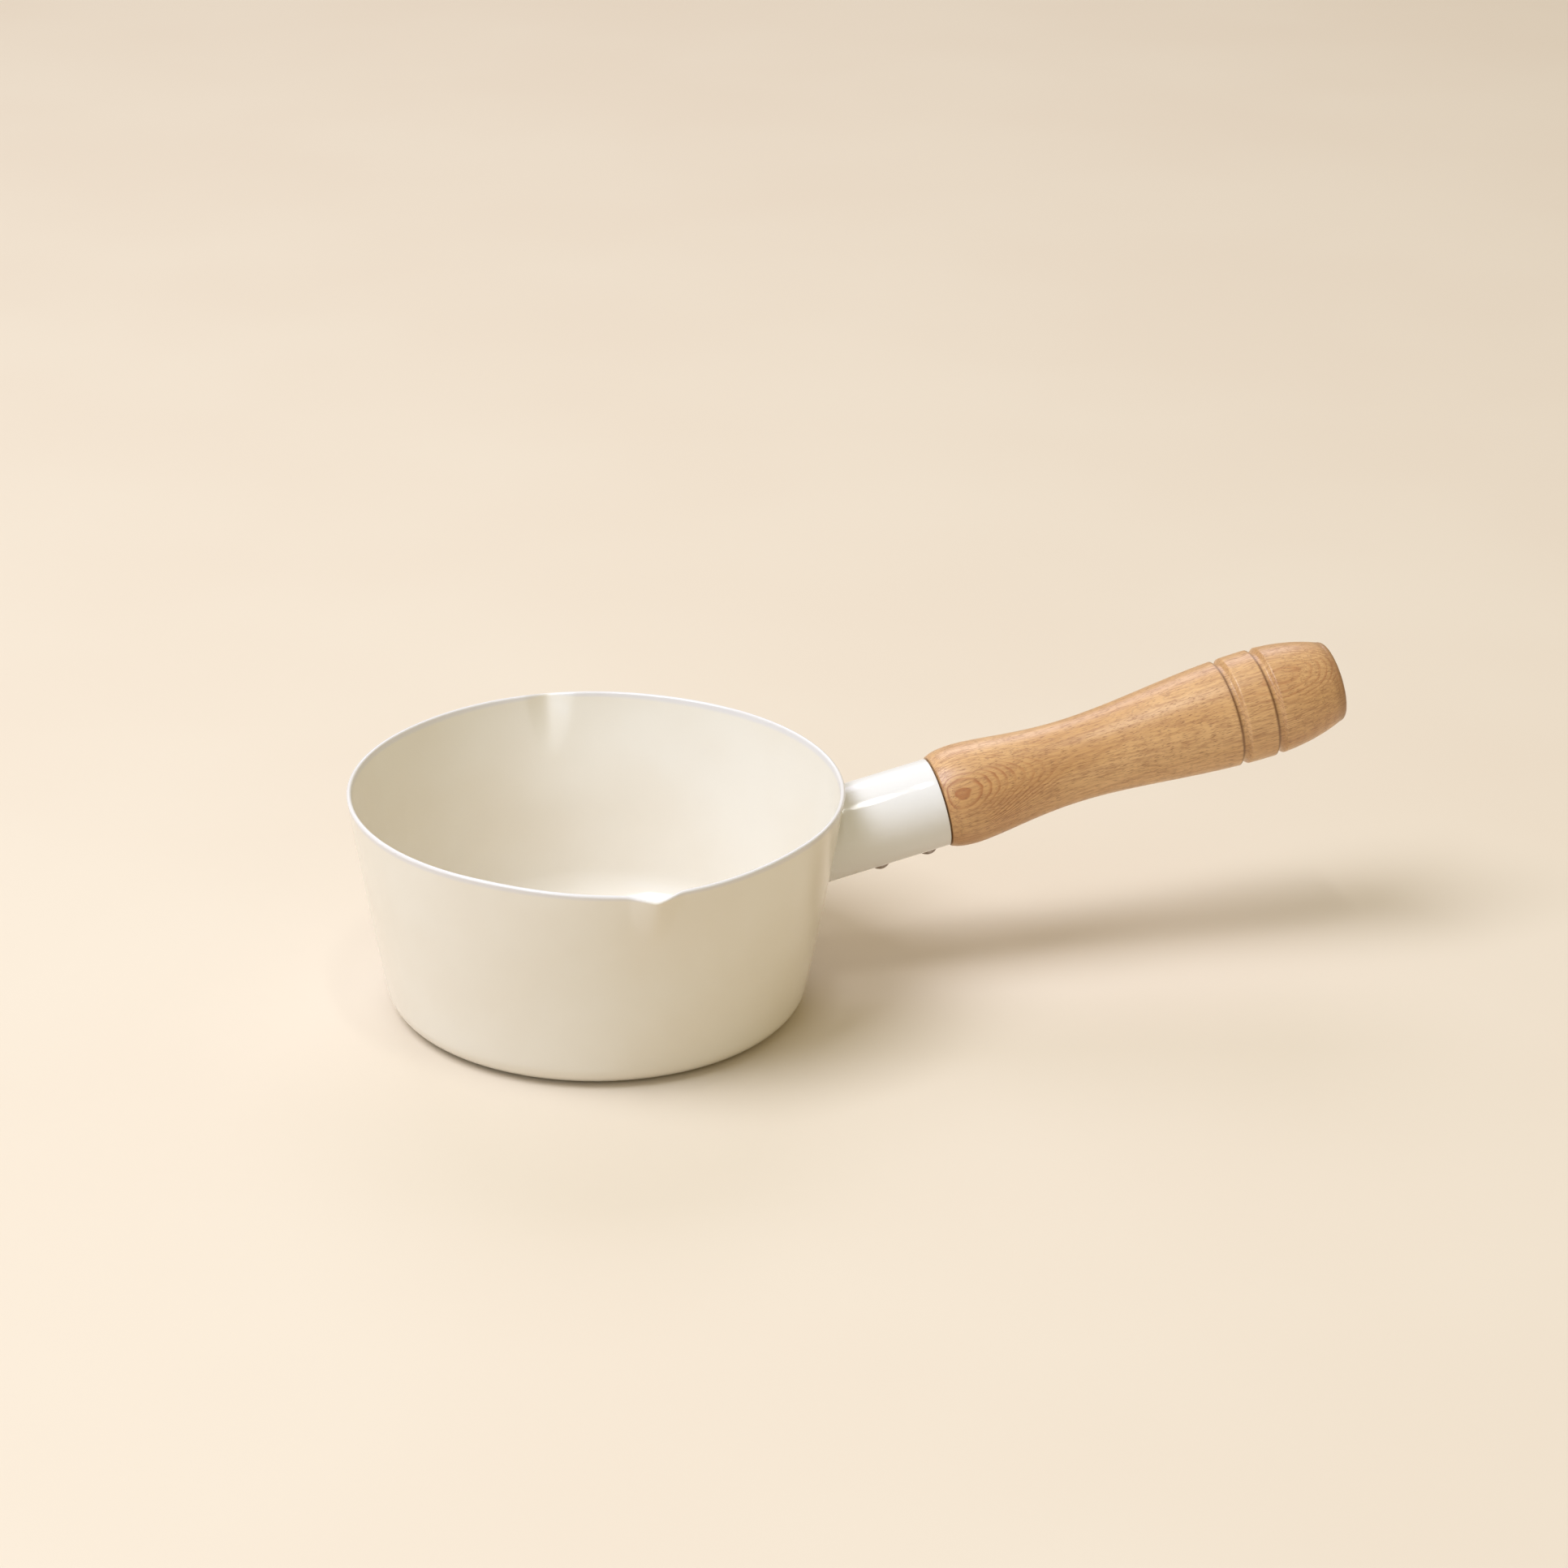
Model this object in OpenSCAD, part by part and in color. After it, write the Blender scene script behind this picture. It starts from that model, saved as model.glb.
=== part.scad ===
// Enamelled milk pan with two pouring lips and a turned wooden handle.
// Millimetres. The origin is the centre of the flat base, +Z is up and the handle points along +X.

/* [Bowl] */
// Outer diameter across the rim
rim_d = 140; // [130:2:160]
// Height of the rim above the base
bowl_h = 65; // [60:1:80]
// Outer diameter of the sloping wall where it would meet the base plane
foot_d = 118; // [110:2:124]
// Most that the wall bows out past a straight slope
wall_bow = 0.4; // [0:0.1:1.5]
// Outer radius of the bottom corner
corner_r = 8; // [4:1:12]
// Thickness of the enamelled steel wall
wall_t = 1.2; // [0.8:0.1:2]
// Diameter of the round bead on the rim
bead_d = 1.3; // [1.2:0.1:2.4]

/* [Pouring lips] */
// How far the tip of a lip stands out past the rim circle
lip_reach = 5.4; // [3:0.2:8]
// How far the tip of a lip lies below the rim
lip_drop = 1.8; // [0:0.2:2]
// Width of a lip along the rim
lip_w = 22; // [14:1:34]
// How far down the wall a lip fades out
lip_fade = 22; // [12:1:34]

/* [Handle line] */
// Height at which the handle's axis crosses the bowl's axis
handle_z = 27.7; // [24:0.1:32]
// Rise of the handle above the level
handle_tilt = 12.9; // [6:0.1:16]

/* [Socket] */
// Outer diameter of the socket
socket_d = 25.9; // [22:0.1:30]
// Thickness of the socket's wall
socket_t = 1.2; // [0.8:0.1:2]
// Distance along the handle from the bowl's axis to the socket's mouth
socket_end = 102.8; // [96:0.1:120]

/* [Grip] */
// Length of the grip past the socket
grip_l = 122.5; // [100:0.1:150]
// Largest diameter of the bulge next to the socket
bulge_d = 29.4; // [27:0.1:34]
// Smallest diameter, at the waist
waist_d = 24.3; // [20:0.1:27]
// Largest diameter, between the two grooves
swell_d = 32; // [28:0.1:38]
// Diameter of the butt end, before its edge is rounded
butt_d = 22.6; // [18:0.1:26]
// Width of each groove
groove_w = 3; // [2:0.1:4]
// Depth of each groove
groove_depth = 0.9; // [0.4:0.1:1.6]
// Depth of the tenon in the socket
tenon_l = 27; // [24:1:29]

/* [Screws] */
// Diameter of the domed head
head_d = 6.2; // [5:0.1:8]
// Height of the domed head
head_h = 2.3; // [1:0.1:2.5]
// Diameter of the shank
shank_d = 3; // [2.5:0.1:4]
// Length under the head
screw_l = 12; // [8:1:16]
// Distance from the socket's mouth to the nearer screw
screw_inset = 5.5; // [5:0.5:7]
// Distance between the two screws
screw_pitch = 14.5; // [12:0.5:16]

/* [Hidden] */
$fn = 96;
ARC_STEPS = 12;
BLEND_STEPS = 16;
TINY = 0.01;

bead_r = bead_d / 2;
rim_wall_r = rim_d / 2 - (bead_d - wall_t) / 2;
bead_z = bowl_h - bead_r;
lip_z = bead_z - lip_drop;
foot_r = foot_d / 2;
wall_slope = atan((rim_wall_r - foot_r) / bead_z);
// Height at which the bottom corner's arc runs into the wall.
corner_top = corner_r * (1 - sin(wall_slope));
// The inner surfaces run on past the rim, so that the cuts are open at the top.
CUT_TOP = bowl_h + 4;

socket_r = socket_d / 2;
bore_r = socket_r - socket_t;
// A hand-push fit in the bore.
tenon_r = bore_r - 0.12;
// The grip stops just short of the socket's mouth.
shoulder_gap = 0.3;

// Where the grip's profile turns, measured from its shoulder.
bulge_x = 8;
waist_x = 40.6;
swell_x = 98.5;
groove_x = [88.4, 99.4];
nose_r = socket_r - 0.1;
butt_edge_r = 1.6;
// The fall from the bulge to the waist is steepest near the bulge.
FALL_SKEW = 0.8;
RISE_SKEW = 0.93;

// Point on a circle.
function on_arc(cx, cy, r, a) = [cx + r * cos(a), cy + r * sin(a)];

// Outer radius of the bowl's wall at height z, with its slight outward bow.
function wall_r(z) =
    let (t = z / bead_z)
    foot_r + (rim_wall_r - foot_r) * t + wall_bow * 4 * t * (1 - t);

// Bowl outline from the base centre to height top, moved inwards by inset.
function bowl_outline(inset, top) =
    let (corner_x = wall_r(corner_top) - corner_r * cos(wall_slope))
    let (side = inset / cos(wall_slope))
    concat(
        [[0, inset]],
        [for (i = [0 : ARC_STEPS])
            on_arc(corner_x, corner_r, corner_r - inset, -90 + (90 - wall_slope) * i / ARC_STEPS)],
        [for (i = [1 : BLEND_STEPS])
            let (z = corner_top + (bead_z - corner_top) * i / BLEND_STEPS)
            [wall_r(z) - side, z]],
        [[wall_r(bead_z) - side, top], [0, top]]
    );

module bowl_form(inset, top) {
    rotate_extrude()
        polygon(bowl_outline(inset, top));
}

// One lip as a solid wedge that fades into the wall, moved inwards by inset.
// Its pointed outline is repeated at each of the levels.
module lip_form(inset, levels) {
    fade_z = bowl_h - lip_fade;
    tip = [0, rim_d / 2 + lip_reach - bead_r - inset];
    flank = [lip_w / 2, rim_d / 2 - bead_r - wall_t - inset];
    hull() {
        for (z = levels)
            for (corner = [tip, flank, [-flank.x, flank.y]])
                translate([corner.x, corner.y, z])
                    sphere(r = bead_r, $fn = 24);
        translate([0, wall_r(fade_z) - 2 * bead_r - inset, fade_z])
            sphere(r = bead_r, $fn = 24);
    }
}

module bowl() {
    color("ivory")
        difference() {
            union() {
                bowl_form(0, bead_z);
                rotate_extrude()
                    translate([rim_d / 2 - bead_r, bead_z])
                        circle(r = bead_r);
                for (turn = [0, 180])
                    rotate(turn)
                        lip_form(0, [lip_z]);
            }
            bowl_form(wall_t, CUT_TOP);
            for (turn = [0, 180])
                rotate(turn)
                    lip_form(wall_t, [lip_z, CUT_TOP]);
        }
}

// Puts its children on the handle's axis: local +Z runs out along the handle and local +X points down.
module on_handle(distance) {
    translate([0, 0, handle_z])
        rotate([0, 90 - handle_tilt, 0])
            translate([0, 0, distance])
                children();
}

// Distances of the two screws from the bowl's axis, the one nearer the bowl first.
function screw_x(i) = socket_end - screw_inset - (1 - i) * screw_pitch;

module screw_hole(i) {
    on_handle(screw_x(i))
        rotate([0, 90, 0])
            cylinder(d = shank_d, h = socket_d);
}

module handle_socket() {
    start = rim_d / 4;
    color("white")
        difference() {
            on_handle(start)
                difference() {
                    cylinder(r = socket_r, h = socket_end - start);
                    translate([0, 0, -1])
                        cylinder(r = bore_r, h = socket_end - start + 2);
                }
            bowl_form(0, bead_z);
            for (i = [0, 1])
                screw_hole(i);
        }
}

// Smooth step from 0 to 1 whose middle is moved by skew.
function ease(t, skew) = (1 - cos(180 * pow(t, skew))) / 2;

function blend(x0, r0, x1, r1, skew) =
    [for (i = [1 : BLEND_STEPS])
        let (t = i / BLEND_STEPS)
        [r0 + (r1 - r0) * ease(t, skew), x0 + (x1 - x0) * t]];

// Ellipse that carries the profile from the swell to the butt.
function barrel_r(x) =
    let (k = 1 - pow(butt_d / swell_d, 2))
    swell_d / 2 * sqrt(1 - k * pow((x - swell_x) / (grip_l - swell_x), 2));

function grip_outline() = concat(
    [[0, 0], [nose_r, 0]],
    [for (i = [1 : ARC_STEPS])
        let (a = 90 * i / ARC_STEPS)
        [nose_r + (bulge_d / 2 - nose_r) * sin(a), bulge_x * (1 - cos(a))]],
    blend(bulge_x, bulge_d / 2, waist_x, waist_d / 2, FALL_SKEW),
    blend(waist_x, waist_d / 2, swell_x, swell_d / 2, RISE_SKEW),
    [for (i = [1 : BLEND_STEPS])
        let (x = swell_x + (grip_l - butt_edge_r - swell_x) * i / BLEND_STEPS)
        [barrel_r(x), x]],
    [for (i = [1 : ARC_STEPS])
        let (a = 90 * i / ARC_STEPS)
        [barrel_r(grip_l - butt_edge_r) - butt_edge_r * (1 - cos(a)),
            grip_l - butt_edge_r * (1 - sin(a))]],
    [[0, grip_l]]
);

// Ring cut with a steep near side, a flat floor and a sloping far side.
module groove(x) {
    outside = swell_d;
    floor_r = swell_d / 2 - groove_depth;
    floor_w = groove_w * 0.55;
    translate([0, 0, x])
        rotate_extrude()
            polygon([
                [floor_r, 0.2],
                [outside, -0.2],
                [outside, groove_w],
                [swell_d / 2, groove_w],
                [floor_r, floor_w]
            ]);
}

module wooden_handle() {
    shoulder = socket_end + shoulder_gap;
    color("burlywood")
        difference() {
            on_handle(shoulder)
                union() {
                    difference() {
                        rotate_extrude()
                            polygon(grip_outline());
                        for (x = groove_x)
                            groove(x);
                    }
                    translate([0, 0, -tenon_l])
                        cylinder(r = tenon_r, h = tenon_l + TINY);
                }
            for (i = [0, 1])
                screw_hole(i);
        }
}

// Domed head with a cross recess, standing on the underside of the socket.
module screw(i) {
    rim_h = 0.3;
    crown_h = head_h - rim_h;
    dome_r = (pow(head_d / 2, 2) + pow(crown_h, 2)) / (2 * crown_h);
    recess_w = 0.8;
    recess_l = 3.4;
    recess_depth = 0.9;
    tip_l = 3;
    color("silver")
        on_handle(screw_x(i))
            rotate([0, 90, 0])
                translate([0, 0, socket_r]) {
                    difference() {
                        intersection() {
                            translate([0, 0, head_h - dome_r])
                                sphere(r = dome_r);
                            cylinder(d = head_d, h = head_h);
                        }
                        for (turn = [0, 90])
                            rotate(turn)
                                translate([-recess_l / 2, -recess_w / 2, head_h - recess_depth])
                                    cube([recess_l, recess_w, recess_depth + 1]);
                    }
                    translate([0, 0, tip_l - screw_l])
                        cylinder(d = shank_d, h = screw_l - tip_l + TINY);
                    translate([0, 0, -screw_l])
                        cylinder(d1 = shank_d / 4, d2 = shank_d, h = tip_l + TINY);
                }
}

bowl();
handle_socket();
wooden_handle();
screw(0);  // handle_screw_inner
screw(1);  // handle_screw_outer
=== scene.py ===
"""Looks of a small enamelled milk pan with a turned beech grip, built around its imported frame.

Metres throughout. The handle's pieces are made in a frame of their own, with +X out along the handle.
"""

import math

import bmesh
import bpy
import numpy as np
from mathutils import Matrix, Vector


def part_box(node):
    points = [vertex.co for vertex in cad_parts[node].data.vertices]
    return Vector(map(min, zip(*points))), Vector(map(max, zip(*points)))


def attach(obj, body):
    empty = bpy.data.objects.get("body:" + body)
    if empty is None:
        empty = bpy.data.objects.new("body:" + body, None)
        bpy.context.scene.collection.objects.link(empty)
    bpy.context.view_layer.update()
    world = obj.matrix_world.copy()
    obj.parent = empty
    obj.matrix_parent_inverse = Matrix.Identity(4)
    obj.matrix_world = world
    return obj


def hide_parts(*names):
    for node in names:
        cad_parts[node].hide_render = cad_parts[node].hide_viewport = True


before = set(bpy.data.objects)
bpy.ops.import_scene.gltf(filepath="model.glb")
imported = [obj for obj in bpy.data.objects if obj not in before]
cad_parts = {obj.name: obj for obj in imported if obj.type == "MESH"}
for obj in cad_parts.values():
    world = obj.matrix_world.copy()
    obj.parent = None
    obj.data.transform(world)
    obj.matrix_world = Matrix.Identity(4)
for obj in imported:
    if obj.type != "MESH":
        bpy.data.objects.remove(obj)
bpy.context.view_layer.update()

MM = 0.001

# ---------------------------------------------------------------- sizes taken from the frame

# The bowl's box touches the rim at its highest X and a lip's tip at its highest Y.
BOWL_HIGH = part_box("bowl")[1]
RIM_R = BOWL_HIGH.x
RIM_Z = BOWL_HIGH.z
LIP_TIP_R = BOWL_HIGH.y


def box_centre(node):
    low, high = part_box(node)
    return (low + high) / 2


# The two screws are alike, so the line between them runs along the handle.
HANDLE_LINE = (box_centre("handle_screw_outer") - box_centre("handle_screw_inner")).normalized()
HANDLE_TILT = math.atan2(HANDLE_LINE.z, HANDLE_LINE.x)


def handle_coordinates(node):
    """Distance along the handle and height off its line, from the bowl's axis, for a node's points."""
    points = np.array([v.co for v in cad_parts[node].data.vertices])
    along = points[:, 0] * math.cos(HANDLE_TILT) + points[:, 2] * math.sin(HANDLE_TILT)
    height = points[:, 2] * math.cos(HANDLE_TILT) - points[:, 0] * math.sin(HANDLE_TILT)
    return along, height


grip_along, grip_height = handle_coordinates("wooden_handle")
socket_along, socket_height = handle_coordinates("handle_socket")
HANDLE_Z = (grip_height.max() + grip_height.min()) / 2 / math.cos(HANDLE_TILT)
# Distances in the handle's own frame start where its line crosses the bowl's axis.
LINE_START = HANDLE_Z * math.sin(HANDLE_TILT)
SOCKET_R = (socket_height.max() - socket_height.min()) / 2
SOCKET_MOUTH = socket_along.max() - LINE_START
GRIP_TENON_END = grip_along.min() - LINE_START
GRIP_BUTT = grip_along.max() - LINE_START
SWELL_R = (grip_height.max() - grip_height.min()) / 2
HANDLE_MATRIX = Matrix.Translation((0, 0, HANDLE_Z)) @ Matrix.Rotation(-HANDLE_TILT, 4, "Y")

# ---------------------------------------------------------------- sizes of the finer shapes

# The frame doesn't give these sizes. Those ending in _X start at the grip's shoulder.
WALL = 1.2 * MM
BEAD_R = 0.65 * MM
FOOT_R = 59 * MM
CORNER_R = 8 * MM
INNER_CORNER_R = 13 * MM
WALL_BOW = 0.4 * MM

LIP_ANGLES = (math.radians(89.4), math.radians(-89.4))
LIP_FLARE = 2.5 * MM
LIP_FLARE_ANGLE = math.radians(42)
LIP_FLARE_FADE = 34 * MM
LIP_POINT_ANGLE = math.radians(5.1)
LIP_POINT_FADE = 18 * MM
LIP_POINT_DROP = 1.2 * MM
LIP_FLARE_DROP = 0.6 * MM

SOCKET_WALL = 1.2 * MM
ROOT_FILLET = 1.1 * MM
SHOULDER_GAP = 0.3 * MM
TENON_GAP = 0.12 * MM

BULGE_R = 14.7 * MM
WAIST_R = 12.15 * MM
BUTT_R = 11.3 * MM
BULGE_X = 8 * MM
WAIST_X = 40.6 * MM
SWELL_X = 98.5 * MM
BUTT_EDGE_R = 1.8 * MM
GROOVES_X = (88.4 * MM, 99.4 * MM)
GROOVE_W = 3.1 * MM
GROOVE_DEPTH = 1.1 * MM

HEAD_R = 3.1 * MM
HEAD_H = 2.3 * MM
SHANK_R = 1.5 * MM
SCREW_LENGTH = 12 * MM
SCREW_TIP = 3 * MM
RECESS_LENGTH = 3.4 * MM
RECESS_WIDTH = 0.75 * MM
RECESS_DEPTH = 0.8 * MM

# ---------------------------------------------------------------- mesh helpers


def smooth(t):
    """Smooth step from 0 to 1 over the unit interval."""
    t = min(max(t, 0.0), 1.0)
    return t * t * (3 - 2 * t)


def add_object(name, bm, material, place=Matrix.Identity(4)):
    """Object at the origin, with the mesh itself moved to its place."""
    mesh = bpy.data.meshes.new(name)
    bmesh.ops.transform(bm, matrix=place, verts=bm.verts)
    bmesh.ops.recalc_face_normals(bm, faces=bm.faces)
    bm.to_mesh(mesh)
    bm.free()
    mesh.shade_smooth()
    piece = bpy.data.objects.new(name, mesh)
    bpy.context.scene.collection.objects.link(piece)
    piece.data.materials.append(material)
    return piece


def skin_rings(rings):
    """Closed surface through rings of equal length. A ring of one point closes the surface there."""
    bm = bmesh.new()
    rows = [[bm.verts.new(p) for p in ring] for ring in rings]
    for near, far in zip(rows, rows[1:]):
        count = max(len(near), len(far))
        for i in range(count):
            j = (i + 1) % count
            if len(near) == 1:
                bm.faces.new((near[0], far[j], far[i]))
            elif len(far) == 1:
                bm.faces.new((near[i], near[j], far[0]))
            else:
                bm.faces.new((near[i], near[j], far[j], far[i]))
    return bm


def lathe(profile, segments):
    """Surface of revolution about +X through (x, radius) points, closed where the radius is 0."""
    rings = []
    for x, r in profile:
        if r == 0:
            rings.append([(x, 0, 0)])
            continue
        angles = (2 * math.pi * i / segments for i in range(segments))
        rings.append([(x, r * math.cos(a), r * math.sin(a)) for a in angles])
    return skin_rings(rings)


def arc(cx, cy, r, start, end, steps):
    """Points on a circle from one angle to another, both ends included."""
    angles = (start + (end - start) * i / steps for i in range(steps + 1))
    return [(cx + r * math.cos(a), cy + r * math.sin(a)) for a in angles]


# ---------------------------------------------------------------- bowl

BEAD_Z = RIM_Z - BEAD_R
WALL_TOP_R = RIM_R - (2 * BEAD_R - WALL) / 2
WALL_SLOPE = math.atan((WALL_TOP_R - FOOT_R) / BEAD_Z)
CORNER_TOP = CORNER_R * (1 - math.sin(WALL_SLOPE))


def wall_radius(z):
    """Outer radius of the bowl's wall away from the lips."""
    t = z / BEAD_Z
    return FOOT_R + (WALL_TOP_R - FOOT_R) * t + WALL_BOW * 4 * t * (1 - t)


def lip_point(angle, depth):
    """Strength of a lip's pointed crease, from 0 to 1. It narrows and fades down the wall."""
    foot_width = 0.45
    rim_round, added_round = 0.15, 0.3
    flank_round = 0.2
    fade_power = 1.3
    cut_start, cut_span = 1.2, 1.5
    fade = max(0.0, 1 - depth / LIP_POINT_FADE)
    u = angle / (LIP_POINT_ANGLE * (foot_width + (1 - foot_width) * fade))
    tip_round = rim_round + added_round * (1 - fade)
    tent = 1 + tip_round - math.sqrt(u * u + tip_round**2)
    rounded = (tent + math.sqrt(tent * tent + flank_round**2)) / 2
    return rounded * fade**fade_power * (1 - smooth((abs(u) - cut_start) / cut_span))


def lip_flare(angle, depth):
    """Strength of the broad flare on which a lip sits, from 0 to 1."""
    if abs(angle) > LIP_FLARE_ANGLE:
        return 0.0
    return math.cos(angle / LIP_FLARE_ANGLE * math.pi / 2) ** 2 * (1 - smooth(depth / LIP_FLARE_FADE))


def lip_angle(azimuth):
    """Signed angle from the nearer lip's tip."""
    turns = [(azimuth - lip + math.pi) % (2 * math.pi) - math.pi for lip in LIP_ANGLES]
    return min(turns, key=abs)


def bowl_point(azimuth, radius, z):
    """Point of the round bowl at this azimuth, moved by whichever lip is near."""
    angle = lip_angle(azimuth)
    depth = max(0.0, RIM_Z - z)
    point = lip_point(angle, depth)
    flare = lip_flare(angle, depth)
    radius += (LIP_TIP_R - RIM_R - LIP_FLARE) * point + LIP_FLARE * flare
    z -= LIP_POINT_DROP * point + LIP_FLARE_DROP * flare
    return (radius * math.cos(azimuth), radius * math.sin(azimuth), z)


def bowl_azimuths():
    """Azimuths round the bowl, two degrees apart and far closer at the lips."""
    fine_span = 13
    fine_parts = 8
    step = 2
    angles = []
    for degree in range(0, 360, step):
        near_lip = abs(math.degrees(lip_angle(math.radians(degree + step / 2)))) < fine_span
        parts = fine_parts if near_lip else 1
        angles += [math.radians(degree + step * k / parts) for k in range(parts)]
    return angles


def bowl_profile():
    """(radius, z) from the middle of the underside, up the outside, over the rim and down the inside."""
    wall_steps, corner_steps, bead_steps = 36, 14, 18
    floor_parts = (0.02, 0.15, 0.3, 0.45, 0.6, 0.75, 0.88, 0.96)
    rim_blend = 1.2 * MM
    side = WALL / math.cos(WALL_SLOPE)
    corner_x = wall_radius(CORNER_TOP) - CORNER_R * math.cos(WALL_SLOPE)
    inner_top = WALL + INNER_CORNER_R * (1 - math.sin(WALL_SLOPE))
    inner_x = wall_radius(inner_top) - side - INNER_CORNER_R * math.cos(WALL_SLOPE)

    def heights(start):
        rise = BEAD_Z - rim_blend - start
        return [start + rise * i / wall_steps for i in range(1, wall_steps + 1)]

    outside = [(corner_x * part, 0.0) for part in floor_parts]
    outside += arc(corner_x, CORNER_R, CORNER_R, -math.pi / 2, -WALL_SLOPE, corner_steps)
    outside += [(wall_radius(z), z) for z in heights(CORNER_TOP)]
    bead = arc(RIM_R - BEAD_R, BEAD_Z, BEAD_R, -WALL_SLOPE, math.pi - WALL_SLOPE, bead_steps)
    inside = [(wall_radius(z) - side, z) for z in reversed(heights(inner_top))]
    inside += arc(inner_x, WALL + INNER_CORNER_R, INNER_CORNER_R, -WALL_SLOPE, -math.pi / 2, corner_steps)
    inside += [(inner_x * part, WALL) for part in reversed(floor_parts)]
    return outside + bead + inside


def build_bowl(material):
    azimuths = bowl_azimuths()
    rings = [[(0, 0, 0)]]
    rings += [[bowl_point(a, r, z) for a in azimuths] for r, z in bowl_profile()]
    rings.append([(0, 0, WALL)])
    return add_object("bowl_shell", skin_rings(rings), material)


# ---------------------------------------------------------------- handle socket


def root_distance(angle, radius):
    """Distance along the handle at which a line at this angle and radius leaves the bowl's wall."""
    halvings = 40
    low, high = RIM_R / 2, RIM_R * 1.3
    for _ in range(halvings):
        middle = (low + high) / 2
        local = Vector((middle, radius * math.cos(angle), radius * math.sin(angle)))
        point = HANDLE_MATRIX @ local
        if math.hypot(point.x, point.y) > wall_radius(point.z):
            high = middle
        else:
            low = middle
    return (low + high) / 2


def build_socket(material):
    """Tube from the bowl's wall to a rounded mouth, open through its bore, with a weld at its root."""
    segments = 192
    fillet_steps, tube_steps, lip_steps, bore_steps = 8, 26, 6, 6
    bite = 0.15 * MM
    lip_r = 0.35 * MM
    lip_x = SOCKET_MOUTH - lip_r
    bore_r = SOCKET_R - SOCKET_WALL
    angles = [2 * math.pi * i / segments for i in range(segments)]

    def ring(distance, radius):
        return [(distance(a), radius * math.cos(a), radius * math.sin(a)) for a in angles]

    def between(start, end, t):
        return start * (1 - t) + end * t

    rings = []
    # Fillet between the tube and the bowl's wall, a quarter circle that opens towards the wall.
    for i in range(fillet_steps + 1):
        turn = math.pi / 2 * i / fillet_steps
        radius = SOCKET_R + ROOT_FILLET * (1 - math.sin(turn))
        lift = ROOT_FILLET * (1 - math.cos(turn))
        rings.append(ring(lambda a: root_distance(a, radius) - bite + lift, radius))
    for i in range(1, tube_steps):
        t = i / tube_steps
        rings.append(ring(lambda a: between(root_distance(a, SOCKET_R) + ROOT_FILLET, lip_x, t), SOCKET_R))
    outer_lip = arc(lip_x, SOCKET_R - lip_r, lip_r, math.pi / 2, 0, lip_steps)
    inner_lip = arc(lip_x, bore_r + lip_r, lip_r, 0, -math.pi / 2, lip_steps)
    for x, radius in outer_lip + inner_lip:
        rings.append(ring(lambda a: x, radius))
    for i in range(1, bore_steps + 1):
        t = i / bore_steps
        rings.append(ring(lambda a: between(lip_x, root_distance(a, bore_r) - bite, t), bore_r))
    # The first ring comes again at the end, and merging the doubles closes the tube's skin there.
    rings.append(rings[0])
    bm = skin_rings(rings)
    merge_distance = 0.0001 * MM
    bmesh.ops.remove_doubles(bm, verts=bm.verts, dist=merge_distance)
    return add_object("socket_tube", bm, material, HANDLE_MATRIX)


# ---------------------------------------------------------------- grip

GRIP_START = SOCKET_MOUTH + SHOULDER_GAP
GRIP_LENGTH = GRIP_BUTT - GRIP_START


def ease(t, skew):
    """Cosine step from 0 to 1 whose middle is moved by skew."""
    return (1 - math.cos(math.pi * t**skew)) / 2


def grip_radius(x):
    """Radius of the turned grip at distance x from its shoulder, without its grooves."""
    nose_r = SOCKET_R - 0.1 * MM
    fall_skew = 0.8
    rise_skew = 0.93
    if x < BULGE_X:
        return nose_r + (BULGE_R - nose_r) * math.sqrt(1 - (1 - x / BULGE_X) ** 2)
    if x < WAIST_X:
        return BULGE_R + (WAIST_R - BULGE_R) * ease((x - BULGE_X) / (WAIST_X - BULGE_X), fall_skew)
    if x < SWELL_X:
        return WAIST_R + (SWELL_R - WAIST_R) * ease((x - WAIST_X) / (SWELL_X - WAIST_X), rise_skew)
    shrink = 1 - (BUTT_R / SWELL_R) ** 2
    return SWELL_R * math.sqrt(1 - shrink * ((x - SWELL_X) / (GRIP_LENGTH - SWELL_X)) ** 2)


def groove_cut(x):
    """Depth of the grooves at x: a steep near side, a flat floor and a sloping far side."""
    near_w = 0.4 * MM
    far_start = 0.5
    depth = 0.0
    for start in GROOVES_X:
        t = (x - start) / GROOVE_W
        if 0 < t < 1:
            near = smooth((x - start) / near_w)
            far = 1 - smooth((t - far_start) / (1 - far_start))
            depth = GROOVE_DEPTH * near * far
    return depth


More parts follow.
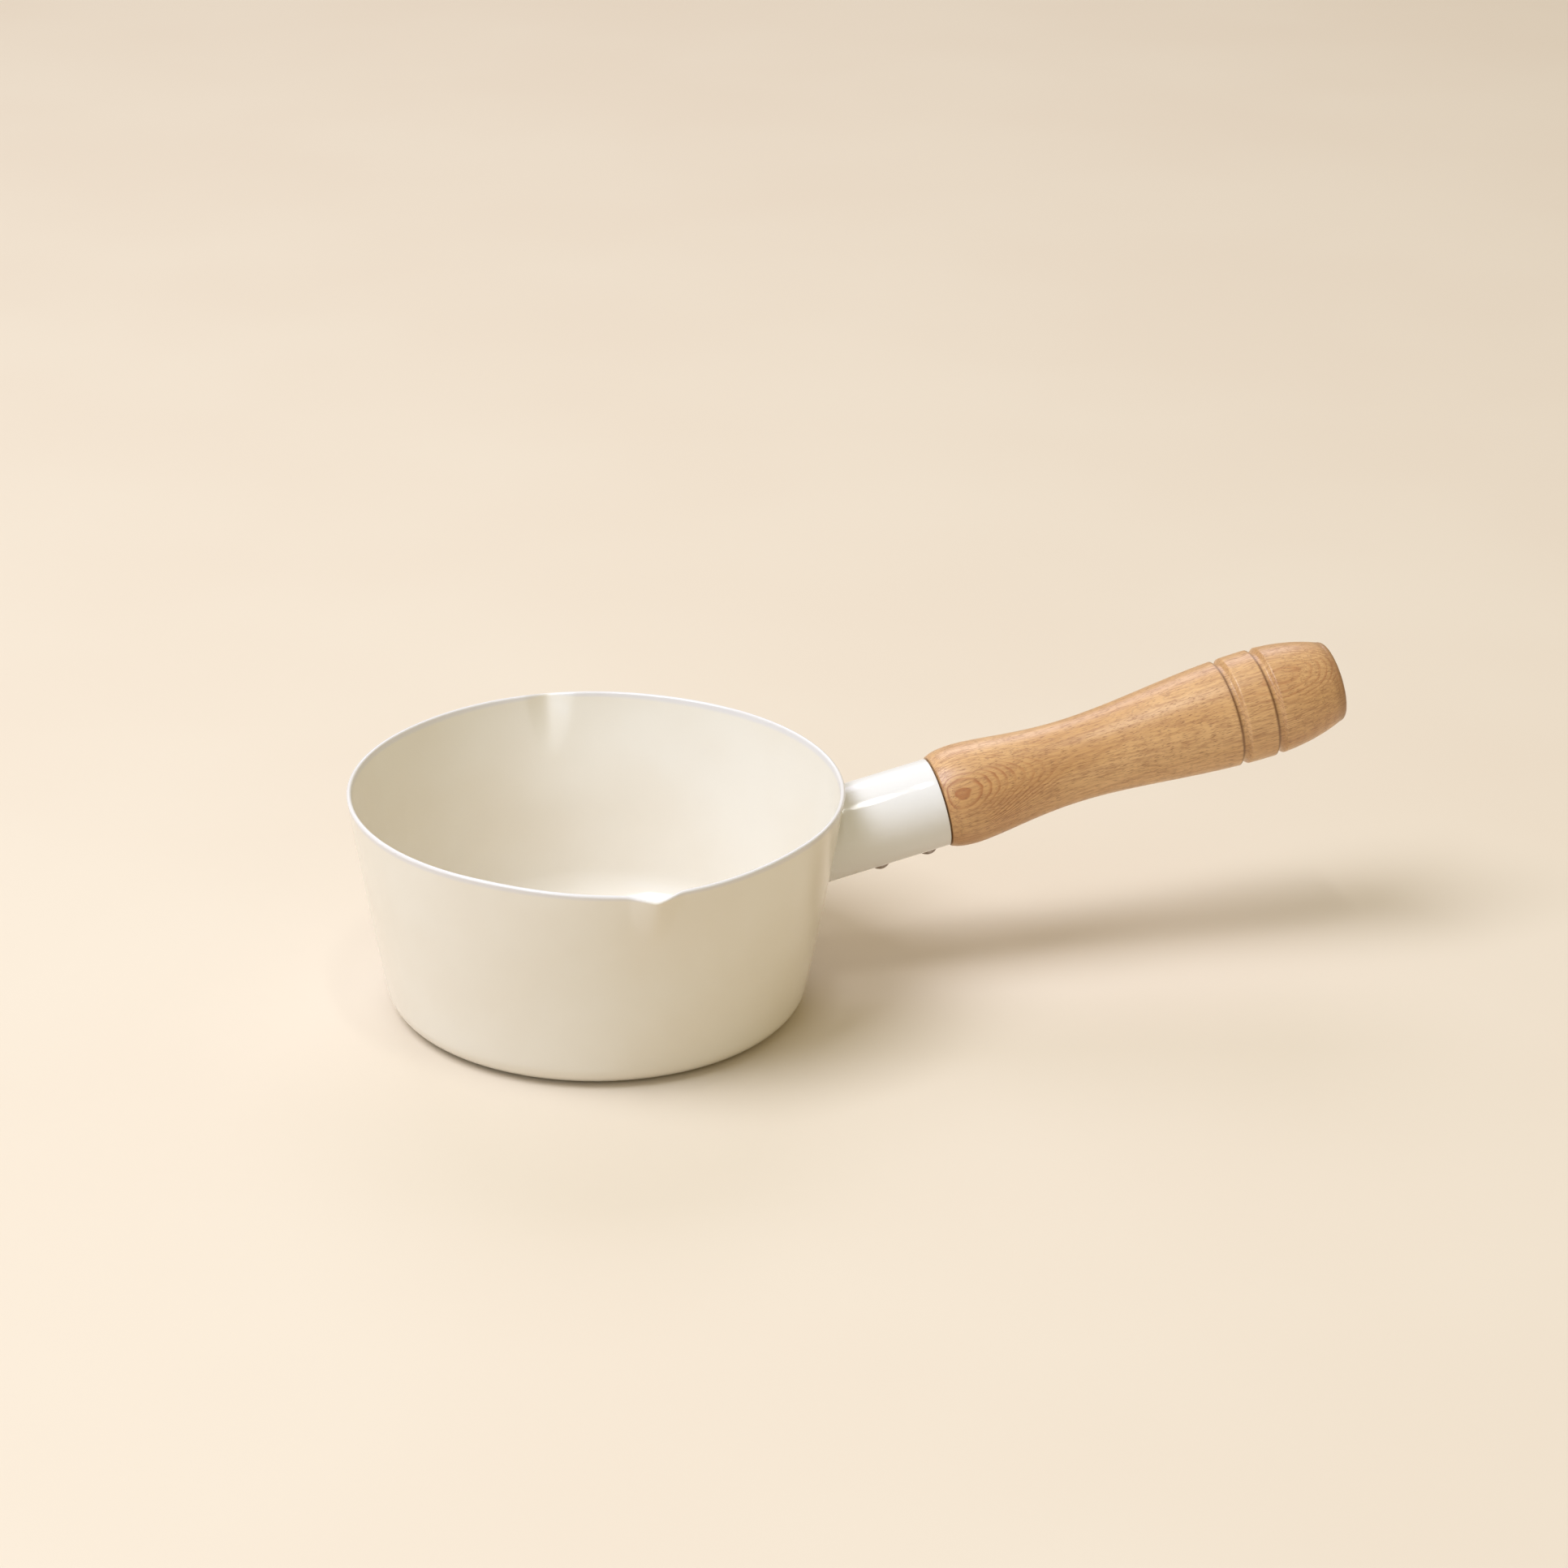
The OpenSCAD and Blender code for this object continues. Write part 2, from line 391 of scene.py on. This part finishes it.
def grip_profile():
    """(x, radius) in the handle's frame, from the tenon's end to the middle of the butt."""
    tenon_r = SOCKET_R - SOCKET_WALL - TENON_GAP
    chamfer = 0.8 * MM
    coarse = 1.0 * MM
    fine = 0.1 * MM
    nose_round = 0.6 * MM
    nose_steps, butt_steps = 6, 9
    # The rounded edge stops a little short of the flat butt end.
    butt_turn = math.radians(8)
    edge_x = GRIP_LENGTH - BUTT_EDGE_R

    outside = arc(nose_round, grip_radius(nose_round) - nose_round, nose_round,
                  math.pi, math.pi / 2, nose_steps)
    x = nose_round + coarse
    while x < edge_x:
        outside.append((x, grip_radius(x) - groove_cut(x)))
        near_groove = any(-coarse < x - start < GROOVE_W + coarse for start in GROOVES_X)
        x += fine if near_groove else coarse
    outside += arc(edge_x, grip_radius(edge_x) - BUTT_EDGE_R, BUTT_EDGE_R,
                   math.pi / 2, butt_turn, butt_steps)
    flat_r = outside[-1][1]
    outside += [(GRIP_LENGTH, flat_r * part) for part in (0.75, 0.4, 0.1, 0)]

    tenon = [
        (GRIP_TENON_END, 0),
        (GRIP_TENON_END, tenon_r - chamfer),
        (GRIP_TENON_END + chamfer, tenon_r),
        (GRIP_START, tenon_r),
    ]
    return tenon + [(GRIP_START + x, r) for x, r in outside]


def build_grip(material):
    segments = 160
    return add_object("beech_grip", lathe(grip_profile(), segments), material, HANDLE_MATRIX)


# ---------------------------------------------------------------- screws


def cross_cutter(material):
    """Two crossed blades for the recess in a screw's head, narrower at the recess's floor."""
    floor_share = 0.55
    bm = bmesh.new()
    for turn in (0, math.pi / 2):
        blade = bmesh.ops.create_cube(bm, size=1)["verts"]
        bmesh.ops.scale(bm, vec=(2 * RECESS_DEPTH, RECESS_LENGTH, RECESS_WIDTH), verts=blade)
        for v in blade:
            if v.co.x < 0:
                v.co.y *= floor_share
        bmesh.ops.translate(bm, vec=(HEAD_H, 0, 0), verts=blade)
        bmesh.ops.rotate(bm, matrix=Matrix.Rotation(turn, 3, "X"), verts=blade)
    return add_object("recess_cutter", bm, material)


def cut(piece, cutter):
    """Takes the cutter out of the piece, then deletes the cutter."""
    step = piece.modifiers.new("recess", "BOOLEAN")
    step.object = cutter
    step.solver = "EXACT"
    step.use_self = True
    bpy.context.view_layer.update()
    evaluated = piece.evaluated_get(bpy.context.evaluated_depsgraph_get())
    cut_mesh = bpy.data.meshes.new_from_object(evaluated)
    piece.modifiers.clear()
    piece.data = cut_mesh
    bpy.data.objects.remove(cutter)


def screw_profile():
    """(x, radius) from the shank's point to the top of the domed head, with the head's seat at x = 0."""
    neck = 0.01 * MM
    bevel_w = 0.15 * MM
    bevel_h = 0.1 * MM
    rim_h = 0.25 * MM
    crown_inset = 0.1 * MM
    crown_steps = 14
    dome_r = (HEAD_R**2 + HEAD_H**2) / (2 * HEAD_H)
    half = math.asin((HEAD_R - crown_inset) / dome_r)
    crown = arc(HEAD_H - dome_r, 0, dome_r, half, 0, crown_steps)
    shank = [(-SCREW_LENGTH, 0), (SCREW_TIP - SCREW_LENGTH, SHANK_R), (-neck, SHANK_R)]
    rim = [(0, HEAD_R - bevel_w), (bevel_h, HEAD_R), (rim_h, HEAD_R)]
    dome = [(x, r) for x, r in crown if x > rim_h][:-1]
    return shank + rim + dome + [(HEAD_H, 0)]


def build_screw(name, node, material):
    """Screw made in a frame whose +X points out of its head, then moved to its node's place."""
    segments = 64
    crease = math.radians(35)
    screw = add_object(name, lathe(screw_profile(), segments), material)
    cut(screw, cross_cutter(material))
    screw.data.shade_smooth()
    screw.data.set_sharp_from_angle(angle=crease)
    # The head's seat lies on the socket's underside, at the screw's place along the handle.
    along, _ = handle_coordinates(node)
    place = (along.max() + along.min()) / 2 - LINE_START
    seat = Matrix.Translation((place, 0, -SOCKET_R)) @ Matrix.Rotation(math.pi / 2, 4, "Y")
    screw.data.transform(HANDLE_MATRIX @ seat)
    return screw


# ---------------------------------------------------------------- materials


class Nodes:
    """Short way to make and wire a material's nodes. Scales are in cells per metre."""

    def __init__(self, name):
        self.material = bpy.data.materials.new(name)
        self.material.use_nodes = True
        self.tree = self.material.node_tree
        self.tree.nodes.clear()
        self.shader = self.add("ShaderNodeBsdfPrincipled")
        output = self.add("ShaderNodeOutputMaterial")
        self.link(self.shader.outputs[0], output.inputs["Surface"])
        self.origin = self.add("ShaderNodeTexCoord").outputs["Object"]

    def add(self, kind, **settings):
        node = self.tree.nodes.new(kind)
        for key, value in settings.items():
            if hasattr(node, key):
                setattr(node, key, value)
            else:
                node.inputs[key].default_value = value
        return node

    def link(self, source, target):
        self.tree.links.new(source, target)

    def feed(self, target, source):
        """Puts a socket or a constant into an input."""
        if isinstance(source, bpy.types.NodeSocket):
            self.link(source, target)
        else:
            target.default_value = source

    def feed_shader(self, **sources):
        """Wires sockets into the shader's inputs."""
        for key, source in sources.items():
            self.link(source, self.shader.inputs[key.replace("_", " ")])

    def set_shader(self, **constants):
        """Sets constants on the shader's own inputs."""
        for key, constant in constants.items():
            self.shader.inputs[key.replace("_", " ")].default_value = constant

    def paint_over(self, factor, tone):
        """Mixes a colour over the base colour that the shader has so far."""
        base = self.shader.inputs["Base Color"]
        self.link(self.mix(factor, base.links[0].from_socket, tone), base)

    def coordinates(self, scale=(1, 1, 1), location=(0, 0, 0), rotation=(0, 0, 0)):
        place = self.add("ShaderNodeMapping")
        place.inputs["Location"].default_value = location
        place.inputs["Rotation"].default_value = rotation
        place.inputs["Scale"].default_value = scale
        self.link(self.origin, place.inputs["Vector"])
        return place.outputs[0]

    def along_handle(self):
        """From here on, coordinates are the handle's own, with +X out along its line."""
        back = HANDLE_MATRIX.inverted()
        self.origin = self.coordinates(location=back.translation, rotation=back.to_euler())

    def axes(self):
        """The three coordinates as sockets of their own."""
        split = self.add("ShaderNodeSeparateXYZ")
        self.link(self.origin, split.inputs[0])
        return split.outputs

    def noise(self, vector, scale, detail=3.0, roughness=0.5):
        node = self.add("ShaderNodeTexNoise", Scale=scale, Detail=detail, Roughness=roughness)
        self.link(vector, node.inputs["Vector"])
        return node.outputs[0]

    def cells(self, vector, scale):
        """Distance from the middle of the nearest cell, and a random number for each cell."""
        node = self.add("ShaderNodeTexVoronoi", Scale=scale, feature="F1")
        self.link(vector, node.inputs["Vector"])
        chance = self.add("ShaderNodeSeparateColor")
        self.link(node.outputs["Color"], chance.inputs[0])
        return node.outputs["Distance"], chance.outputs[0]

    def math(self, operation, a, b=0.0):
        node = self.add("ShaderNodeMath", operation=operation)
        self.feed(node.inputs[0], a)
        self.feed(node.inputs[1], b)
        return node.outputs[0]

    def ramp(self, value, low, high, out_low=0.0, out_high=1.0):
        """Smooth step from out_low to out_high as the value goes from low to high."""
        node = self.add("ShaderNodeMapRange", interpolation_type="SMOOTHSTEP")
        limits = {"From Min": low, "From Max": high, "To Min": out_low, "To Max": out_high}
        for key, limit in limits.items():
            node.inputs[key].default_value = limit
        self.feed(node.inputs["Value"], value)
        return node.outputs[0]

    def mix(self, factor, a, b):
        """Colour mix: a where the factor is 0, b where it is 1."""
        node = self.add("ShaderNodeMix", data_type="RGBA")
        self.feed(node.inputs[0], factor)
        self.feed(node.inputs[6], a)
        self.feed(node.inputs[7], b)
        return node.outputs[2]

    def bump(self, height, distance, strength, below=None):
        node = self.add("ShaderNodeBump", Distance=distance, Strength=strength)
        self.link(height, node.inputs["Height"])
        if below is not None:
            self.link(below, node.inputs["Normal"])
        return node.outputs[0]


def colour(r, g, b):
    return (r, g, b, 1.0)


def enamel(name, base, warm, seed, wave_height):
    """Glossy vitreous enamel: slow waves in the glaze, fine peel, cloudy tone and rare dark specks."""
    gloss = 0.2
    gloss_change = 0.08
    clean_share = 0.975
    speck_core, speck_edge = 0.018, 0.05
    speck_tone = colour(0.18, 0.12, 0.07)
    n = Nodes(name)
    at = n.coordinates(location=(seed, seed * 0.7, 0))
    clouds = n.noise(at, 28.0, detail=2.0)
    tone = n.mix(n.ramp(clouds, 0.3, 0.7), colour(*base), colour(*warm))
    distance, chance = n.cells(at, 95.0)
    rare = n.math("GREATER_THAN", chance, clean_share)
    speck = n.math("MULTIPLY", rare, n.ramp(distance, speck_core, speck_edge, 1.0, 0.0))
    specked = n.mix(n.math("MULTIPLY", speck, 0.75), tone, speck_tone)
    haze = n.noise(at, 190.0, detail=4.0)
    roughness = n.ramp(haze, 0.3, 0.75, gloss * (1 - gloss_change), gloss * (1 + gloss_change))
    waves = n.bump(n.noise(at, 55.0, detail=1.0), wave_height, 0.5)
    peel = n.bump(n.noise(at, 900.0, detail=2.0), 0.01 * MM, 0.5, below=waves)
    pits = n.bump(n.math("SUBTRACT", 1.0, speck), 0.06 * MM, 0.6, below=peel)
    n.feed_shader(Base_Color=specked, Roughness=roughness, Normal=pits, Coat_Normal=pits)
    n.set_shader(IOR=1.45, Specular_IOR_Level=0.3, Coat_Weight=0.35, Coat_Roughness=0.03)
    return n


def bowl_enamel():
    """Ivory enamel, with painted shade that greys the rim's edge to dim its highlight."""
    edge_start, edge_end = RIM_Z - 2.4 * MM, RIM_Z - 1.1 * MM
    n = enamel("ivory_enamel", (0.81, 0.765, 0.68), (0.79, 0.735, 0.64), 0.0, 0.03 * MM)
    height = n.axes()[2]
    # Painted shade: the top couple of millimetres of the rim are greyed so that its highlight looks
    # dimmer.
    edge = n.ramp(height, edge_start, edge_end)
    n.paint_over(n.math("MULTIPLY", edge, 0.8), colour(0.70, 0.68, 0.69))
    return n.material


def socket_enamel():
    """Whiter enamel, with the dark ground coat showing at the mouth's cut edge."""
    edge_start, edge_end = SOCKET_MOUTH - 0.3 * MM, SOCKET_MOUTH - 0.1 * MM
    n = enamel("white_enamel", (0.785, 0.775, 0.76), (0.765, 0.75, 0.73), 3.0, 0.02 * MM)
    n.set_shader(Specular_IOR_Level=0.1)
    n.along_handle()
    along = n.axes()[0]
    n.paint_over(n.ramp(along, edge_start, edge_end), colour(0.12, 0.07, 0.04))
    return n.material


def growth_layers(n, along, across, upwards):
    """Late wood of the growth layers, from 0 to 1.

    The layers lie square to a line that turns slowly about the handle from end to end.
    """
    layer_turn = math.radians(52)
    layer_pitch = 0.5 * MM
    twist_per_m = 3.4
    bow_per_m = 0.9
    waviness = 1.6 * MM
    late_start, late_peak = 0.4, 0.86
    wobble = n.noise(n.coordinates(scale=(14, 75, 75)), 1.0, detail=4.0, roughness=0.55)
    offset = n.math("SUBTRACT", along, GRIP_START + GRIP_LENGTH / 2)
    twist = n.math("MULTIPLY", offset, twist_per_m)
    bow = n.math("MULTIPLY", n.math("MULTIPLY", offset, offset), -bow_per_m)
    aside = n.math("ADD", n.math("MULTIPLY", across, math.sin(layer_turn)),
                   n.math("MULTIPLY", upwards, -math.cos(layer_turn)))
    level = n.math("ADD", n.math("MULTIPLY", across, -math.cos(layer_turn)),
                   n.math("MULTIPLY", upwards, -math.sin(layer_turn)))
    turned = n.math("ADD", aside, n.math("MULTIPLY", level, twist))
    depth = n.math("ADD", n.math("ADD", turned, bow), n.math("MULTIPLY", wobble, waviness))
    phase = n.math("FRACT", n.math("DIVIDE", depth, layer_pitch))
    rise = n.ramp(phase, late_start, late_peak)
    fall = n.ramp(phase, late_peak, 1.0, 1.0, 0.0)
    patches = n.noise(n.coordinates(scale=(60, 200, 200)), 1.0, detail=3.0)
    strength = n.ramp(patches, 0.35, 0.65, 0.1, 1.0)
    # The layers show where the grain runs out at the two thick ends and are faint between them.
    faint = 0.15
    inner_end = n.ramp(along, GRIP_START + 22 * MM, GRIP_START + 42 * MM, 1.0, faint)
    outer_end = n.ramp(along, GRIP_START + 92 * MM, GRIP_START + 106 * MM, faint, 0.7)
    shown = n.math("MULTIPLY", strength, n.math("MAXIMUM", inner_end, outer_end))
    return n.math("MULTIPLY", n.math("MULTIPLY", rise, fall), shown)


def ray_flecks(n):
    """Short thin dark flecks along the grain in two sizes, from 0 to 1."""
    flecks = None
    for along_scale, across_scale, share in ((230, 3800, 0.34), (400, 5000, 0.45)):
        at = n.coordinates(scale=(along_scale, across_scale, across_scale),
                           location=(across_scale, along_scale, 0))
        distance, chance = n.cells(at, 1.0)
        picked = n.ramp(chance, share, share + 0.12, 1.0, 0.0)
        mark = n.math("MULTIPLY", picked, n.ramp(distance, 0.12, 0.36, 1.0, 0.0))
        flecks = mark if flecks is None else n.math("MAXIMUM", flecks, mark)
    return flecks


def groove_painted_shade(n, along):
    """Painted shade in the steep corner of each groove, from 0 to 1."""
    corner_offset = 0.3 * MM
    core, edge = 0.2 * MM, 0.9 * MM
    groove_shade = None
    for start in GROOVES_X:
        gap = n.math("ABSOLUTE", n.math("SUBTRACT", along, GRIP_START + start + corner_offset))
        line = n.ramp(gap, core, edge, 1.0, 0.0)
        groove_shade = line if groove_shade is None else n.math("MAXIMUM", groove_shade, line)
    return groove_shade


def beech():
    """Steamed beech: growth layers, fibre streaks, dark flecks with open pores, and a satin oil finish."""
    n = Nodes("turned_beech")
    n.along_handle()
    along, across, upwards = n.axes()
    pale = colour(0.76, 0.485, 0.24)
    mid = colour(0.585, 0.33, 0.135)
    late = growth_layers(n, along, across, upwards)
    broad = n.noise(n.coordinates(scale=(11, 50, 50)), 1.0, detail=3.0)
    ground = n.mix(n.ramp(broad, 0.3, 0.7), pale, mid)
    ringed = n.mix(late, ground, colour(0.40, 0.16, 0.06))
    # Fine streaks run the length of the fibres.
    streaks = n.noise(n.coordinates(scale=(130, 1500, 1500)), 1.0, detail=4.0, roughness=0.65)
    streaked = n.mix(n.ramp(streaks, 0.38, 0.7, 0.0, 0.62), ringed, colour(0.36, 0.165, 0.07))
    flecks = ray_flecks(n)
    marked = n.mix(n.math("MULTIPLY", flecks, 0.85), streaked, colour(0.25, 0.10, 0.035))
    # Painted shade darkens the steep corner of each groove.
    groove_shade = groove_painted_shade(n, along)
    groove_shaded = n.mix(n.math("MULTIPLY", groove_shade, 0.75), marked, colour(0.2, 0.09, 0.035))
    # Darker towards the butt end, over its last few millimetres and its flat end.
    butt = n.ramp(along, GRIP_BUTT - 5 * MM, GRIP_BUTT - 0.5 * MM, 0.0, 0.6)
    butt_darkened = n.mix(butt, groove_shaded, colour(0.25, 0.115, 0.045))
    roughness = n.ramp(streaks, 0.3, 0.8, 0.36, 0.52)
    fibres = n.bump(streaks, 0.04 * MM, 0.7)
    pores = n.bump(n.math("SUBTRACT", 1.0, flecks), 0.05 * MM, 0.7, below=fibres)
    n.feed_shader(Base_Color=butt_darkened, Roughness=roughness, Normal=pores)
    n.set_shader(IOR=1.46, Coat_Weight=0.35, Coat_Roughness=0.3)
    return n.material


def screw_steel():
    """Nickel-plated steel with fine turning marks and a little tarnish."""
    n = Nodes("plated_steel")
    n.along_handle()
    clean = colour(0.50, 0.45, 0.43)
    dull = colour(0.26, 0.21, 0.18)
    tarnish = n.noise(n.coordinates(), 700.0, detail=4.0)
    tone = n.mix(n.ramp(tarnish, 0.4, 0.75), clean, dull)
    roughness = n.ramp(tarnish, 0.3, 0.8, 0.14, 0.34)
    marks = n.noise(n.coordinates(scale=(6000, 900, 900)), 1.0, detail=2.0)
    n.feed_shader(Base_Color=tone, Roughness=roughness, Normal=n.bump(marks, 0.004 * MM, 0.6))
    n.set_shader(Metallic=1.0)
    return n.material


def paper():
    """Pale cream backdrop paper with a faint tooth."""
    n = Nodes("cream_paper")
    at = n.coordinates()
    cloud = n.noise(at, 6.0, detail=2.0)
    tone = n.mix(n.ramp(cloud, 0.3, 0.7), colour(0.70, 0.61, 0.495), colour(0.71, 0.625, 0.51))
    tooth = n.bump(n.noise(at, 2500.0, detail=2.0), 0.02 * MM, 0.3)
    n.feed_shader(Base_Color=tone, Normal=tooth)
    n.set_shader(Roughness=0.85, Specular_IOR_Level=0.2)
    return n.material


# ---------------------------------------------------------------- camera, floor and light


def view_direction(azimuth, elevation):
    """Unit vector from the object towards a viewer. Azimuth 0 looks along +Y."""
    return Vector((
        math.sin(azimuth) * math.cos(elevation),
        -math.cos(azimuth) * math.cos(elevation),
        math.sin(elevation),
    ))


def add_camera():
    """Camera at the photograph's viewing angle, fitted to the outlines of the bowl and the handle."""
    azimuth = math.radians(-14.76)
    elevation = math.radians(23.56)
    roll = math.radians(0.93)
    target = Vector((0.0558, 0.0049, 0.0583))
    distance = 1.1615
    back = view_direction(azimuth, elevation)
    right = Vector((0, 0, 1)).cross(back).normalized()
    up = back.cross(right)
    tilted_right = right * math.cos(roll) + up * math.sin(roll)
    tilted_up = up * math.cos(roll) - right * math.sin(roll)
    turn = Matrix((tilted_right, tilted_up, back)).transposed().to_4x4()
    data = bpy.data.cameras.new("camera")
    data.lens = 93.17
    data.sensor_width = 36.0
    data.clip_start = 0.01
    data.clip_end = 50.0
    camera = bpy.data.objects.new("camera", data)
    camera.matrix_world = Matrix.Translation(target + back * distance) @ turn
    bpy.context.scene.collection.objects.link(camera)
    bpy.context.scene.camera = camera


def add_floor():
    radius = 8.0
    segments = 96
    bm = bmesh.new()
    bmesh.ops.create_circle(bm, cap_ends=True, segments=segments, radius=radius)
    floor = add_object("floor", bm, paper())


def add_area_light(name, direction, distance, size, power, tint, roll=0.0, shape="RECTANGLE"):
    """Light that shines on the pan from this direction, turned about its own axis by roll degrees."""
    aim = Vector((0.05, 0, 0))
    data = bpy.data.lights.new(name, "AREA")
    data.shape = shape
    data.size, data.size_y = size
    data.energy = power
    data.color = tint
    light = bpy.data.objects.new(name, data)
    towards = Vector(direction).normalized()
    turn = towards.to_track_quat("Z", "Y").to_matrix() @ Matrix.Rotation(math.radians(roll), 3, "Z")
    light.location = aim + towards * distance
    light.rotation_euler = turn.to_euler()
    bpy.context.scene.collection.objects.link(light)


def add_world():
    world = bpy.data.worlds.new("room")
    world.use_nodes = True
    sky = world.node_tree.nodes["Background"]
    sky.inputs["Color"].default_value = colour(1.0, 0.885, 0.57)
    sky.inputs["Strength"].default_value = 0.52
    bpy.context.scene.world = world


def add_lights():
    """Three soft boxes, and two slim lamps that make the streak and the spot on the socket."""
    box_distance = 2.2
    add_area_light("key", (-0.49, -0.11, 0.87), box_distance, (1.15, 1.15), 43.0, (0.817, 0.86, 1.0),
                   roll=20)
    add_area_light("rear", (0.1, 0.75, 0.65), box_distance, (1.4, 0.9), 12.4, (0.742, 0.76, 1.0))
    add_area_light("window", (-0.8, -0.5, 0.45), box_distance, (1.8, 1.3), 9.0, (0.42, 0.62, 1.0))
    lamp_distance = 1.2
    white = (0.95, 0.97, 1.0)
    add_area_light("lamp", (-0.033, -0.23, 0.972), lamp_distance, (0.026, 0.3), 0.8, white,
                   roll=11.5, shape="ELLIPSE")
    add_area_light("small_lamp", (-0.0088, -0.2, 0.98), lamp_distance, (0.008, 0.3), 0.2, white,
                   roll=5, shape="ELLIPSE")


# ---------------------------------------------------------------- the scene

bpy.context.scene.view_settings.view_transform = "Standard"
add_camera()
add_world()
add_lights()
add_floor()

SCREWS = {"grip_screw_inner": "handle_screw_inner", "grip_screw_outer": "handle_screw_outer"}
steel = screw_steel()
pieces = [
    (build_bowl(bowl_enamel()), "bowl", "bowl_enamel"),
    (build_socket(socket_enamel()), "handle_socket", "socket_enamel"),
    (build_grip(beech()), "wooden_handle", "beech"),
]
pieces += [(build_screw(name, node, steel), node, "screw_steel") for name, node in SCREWS.items()]
for piece, node, slot in pieces:
    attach(piece, "root")
    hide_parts(node)

bpy.context.view_layer.update()
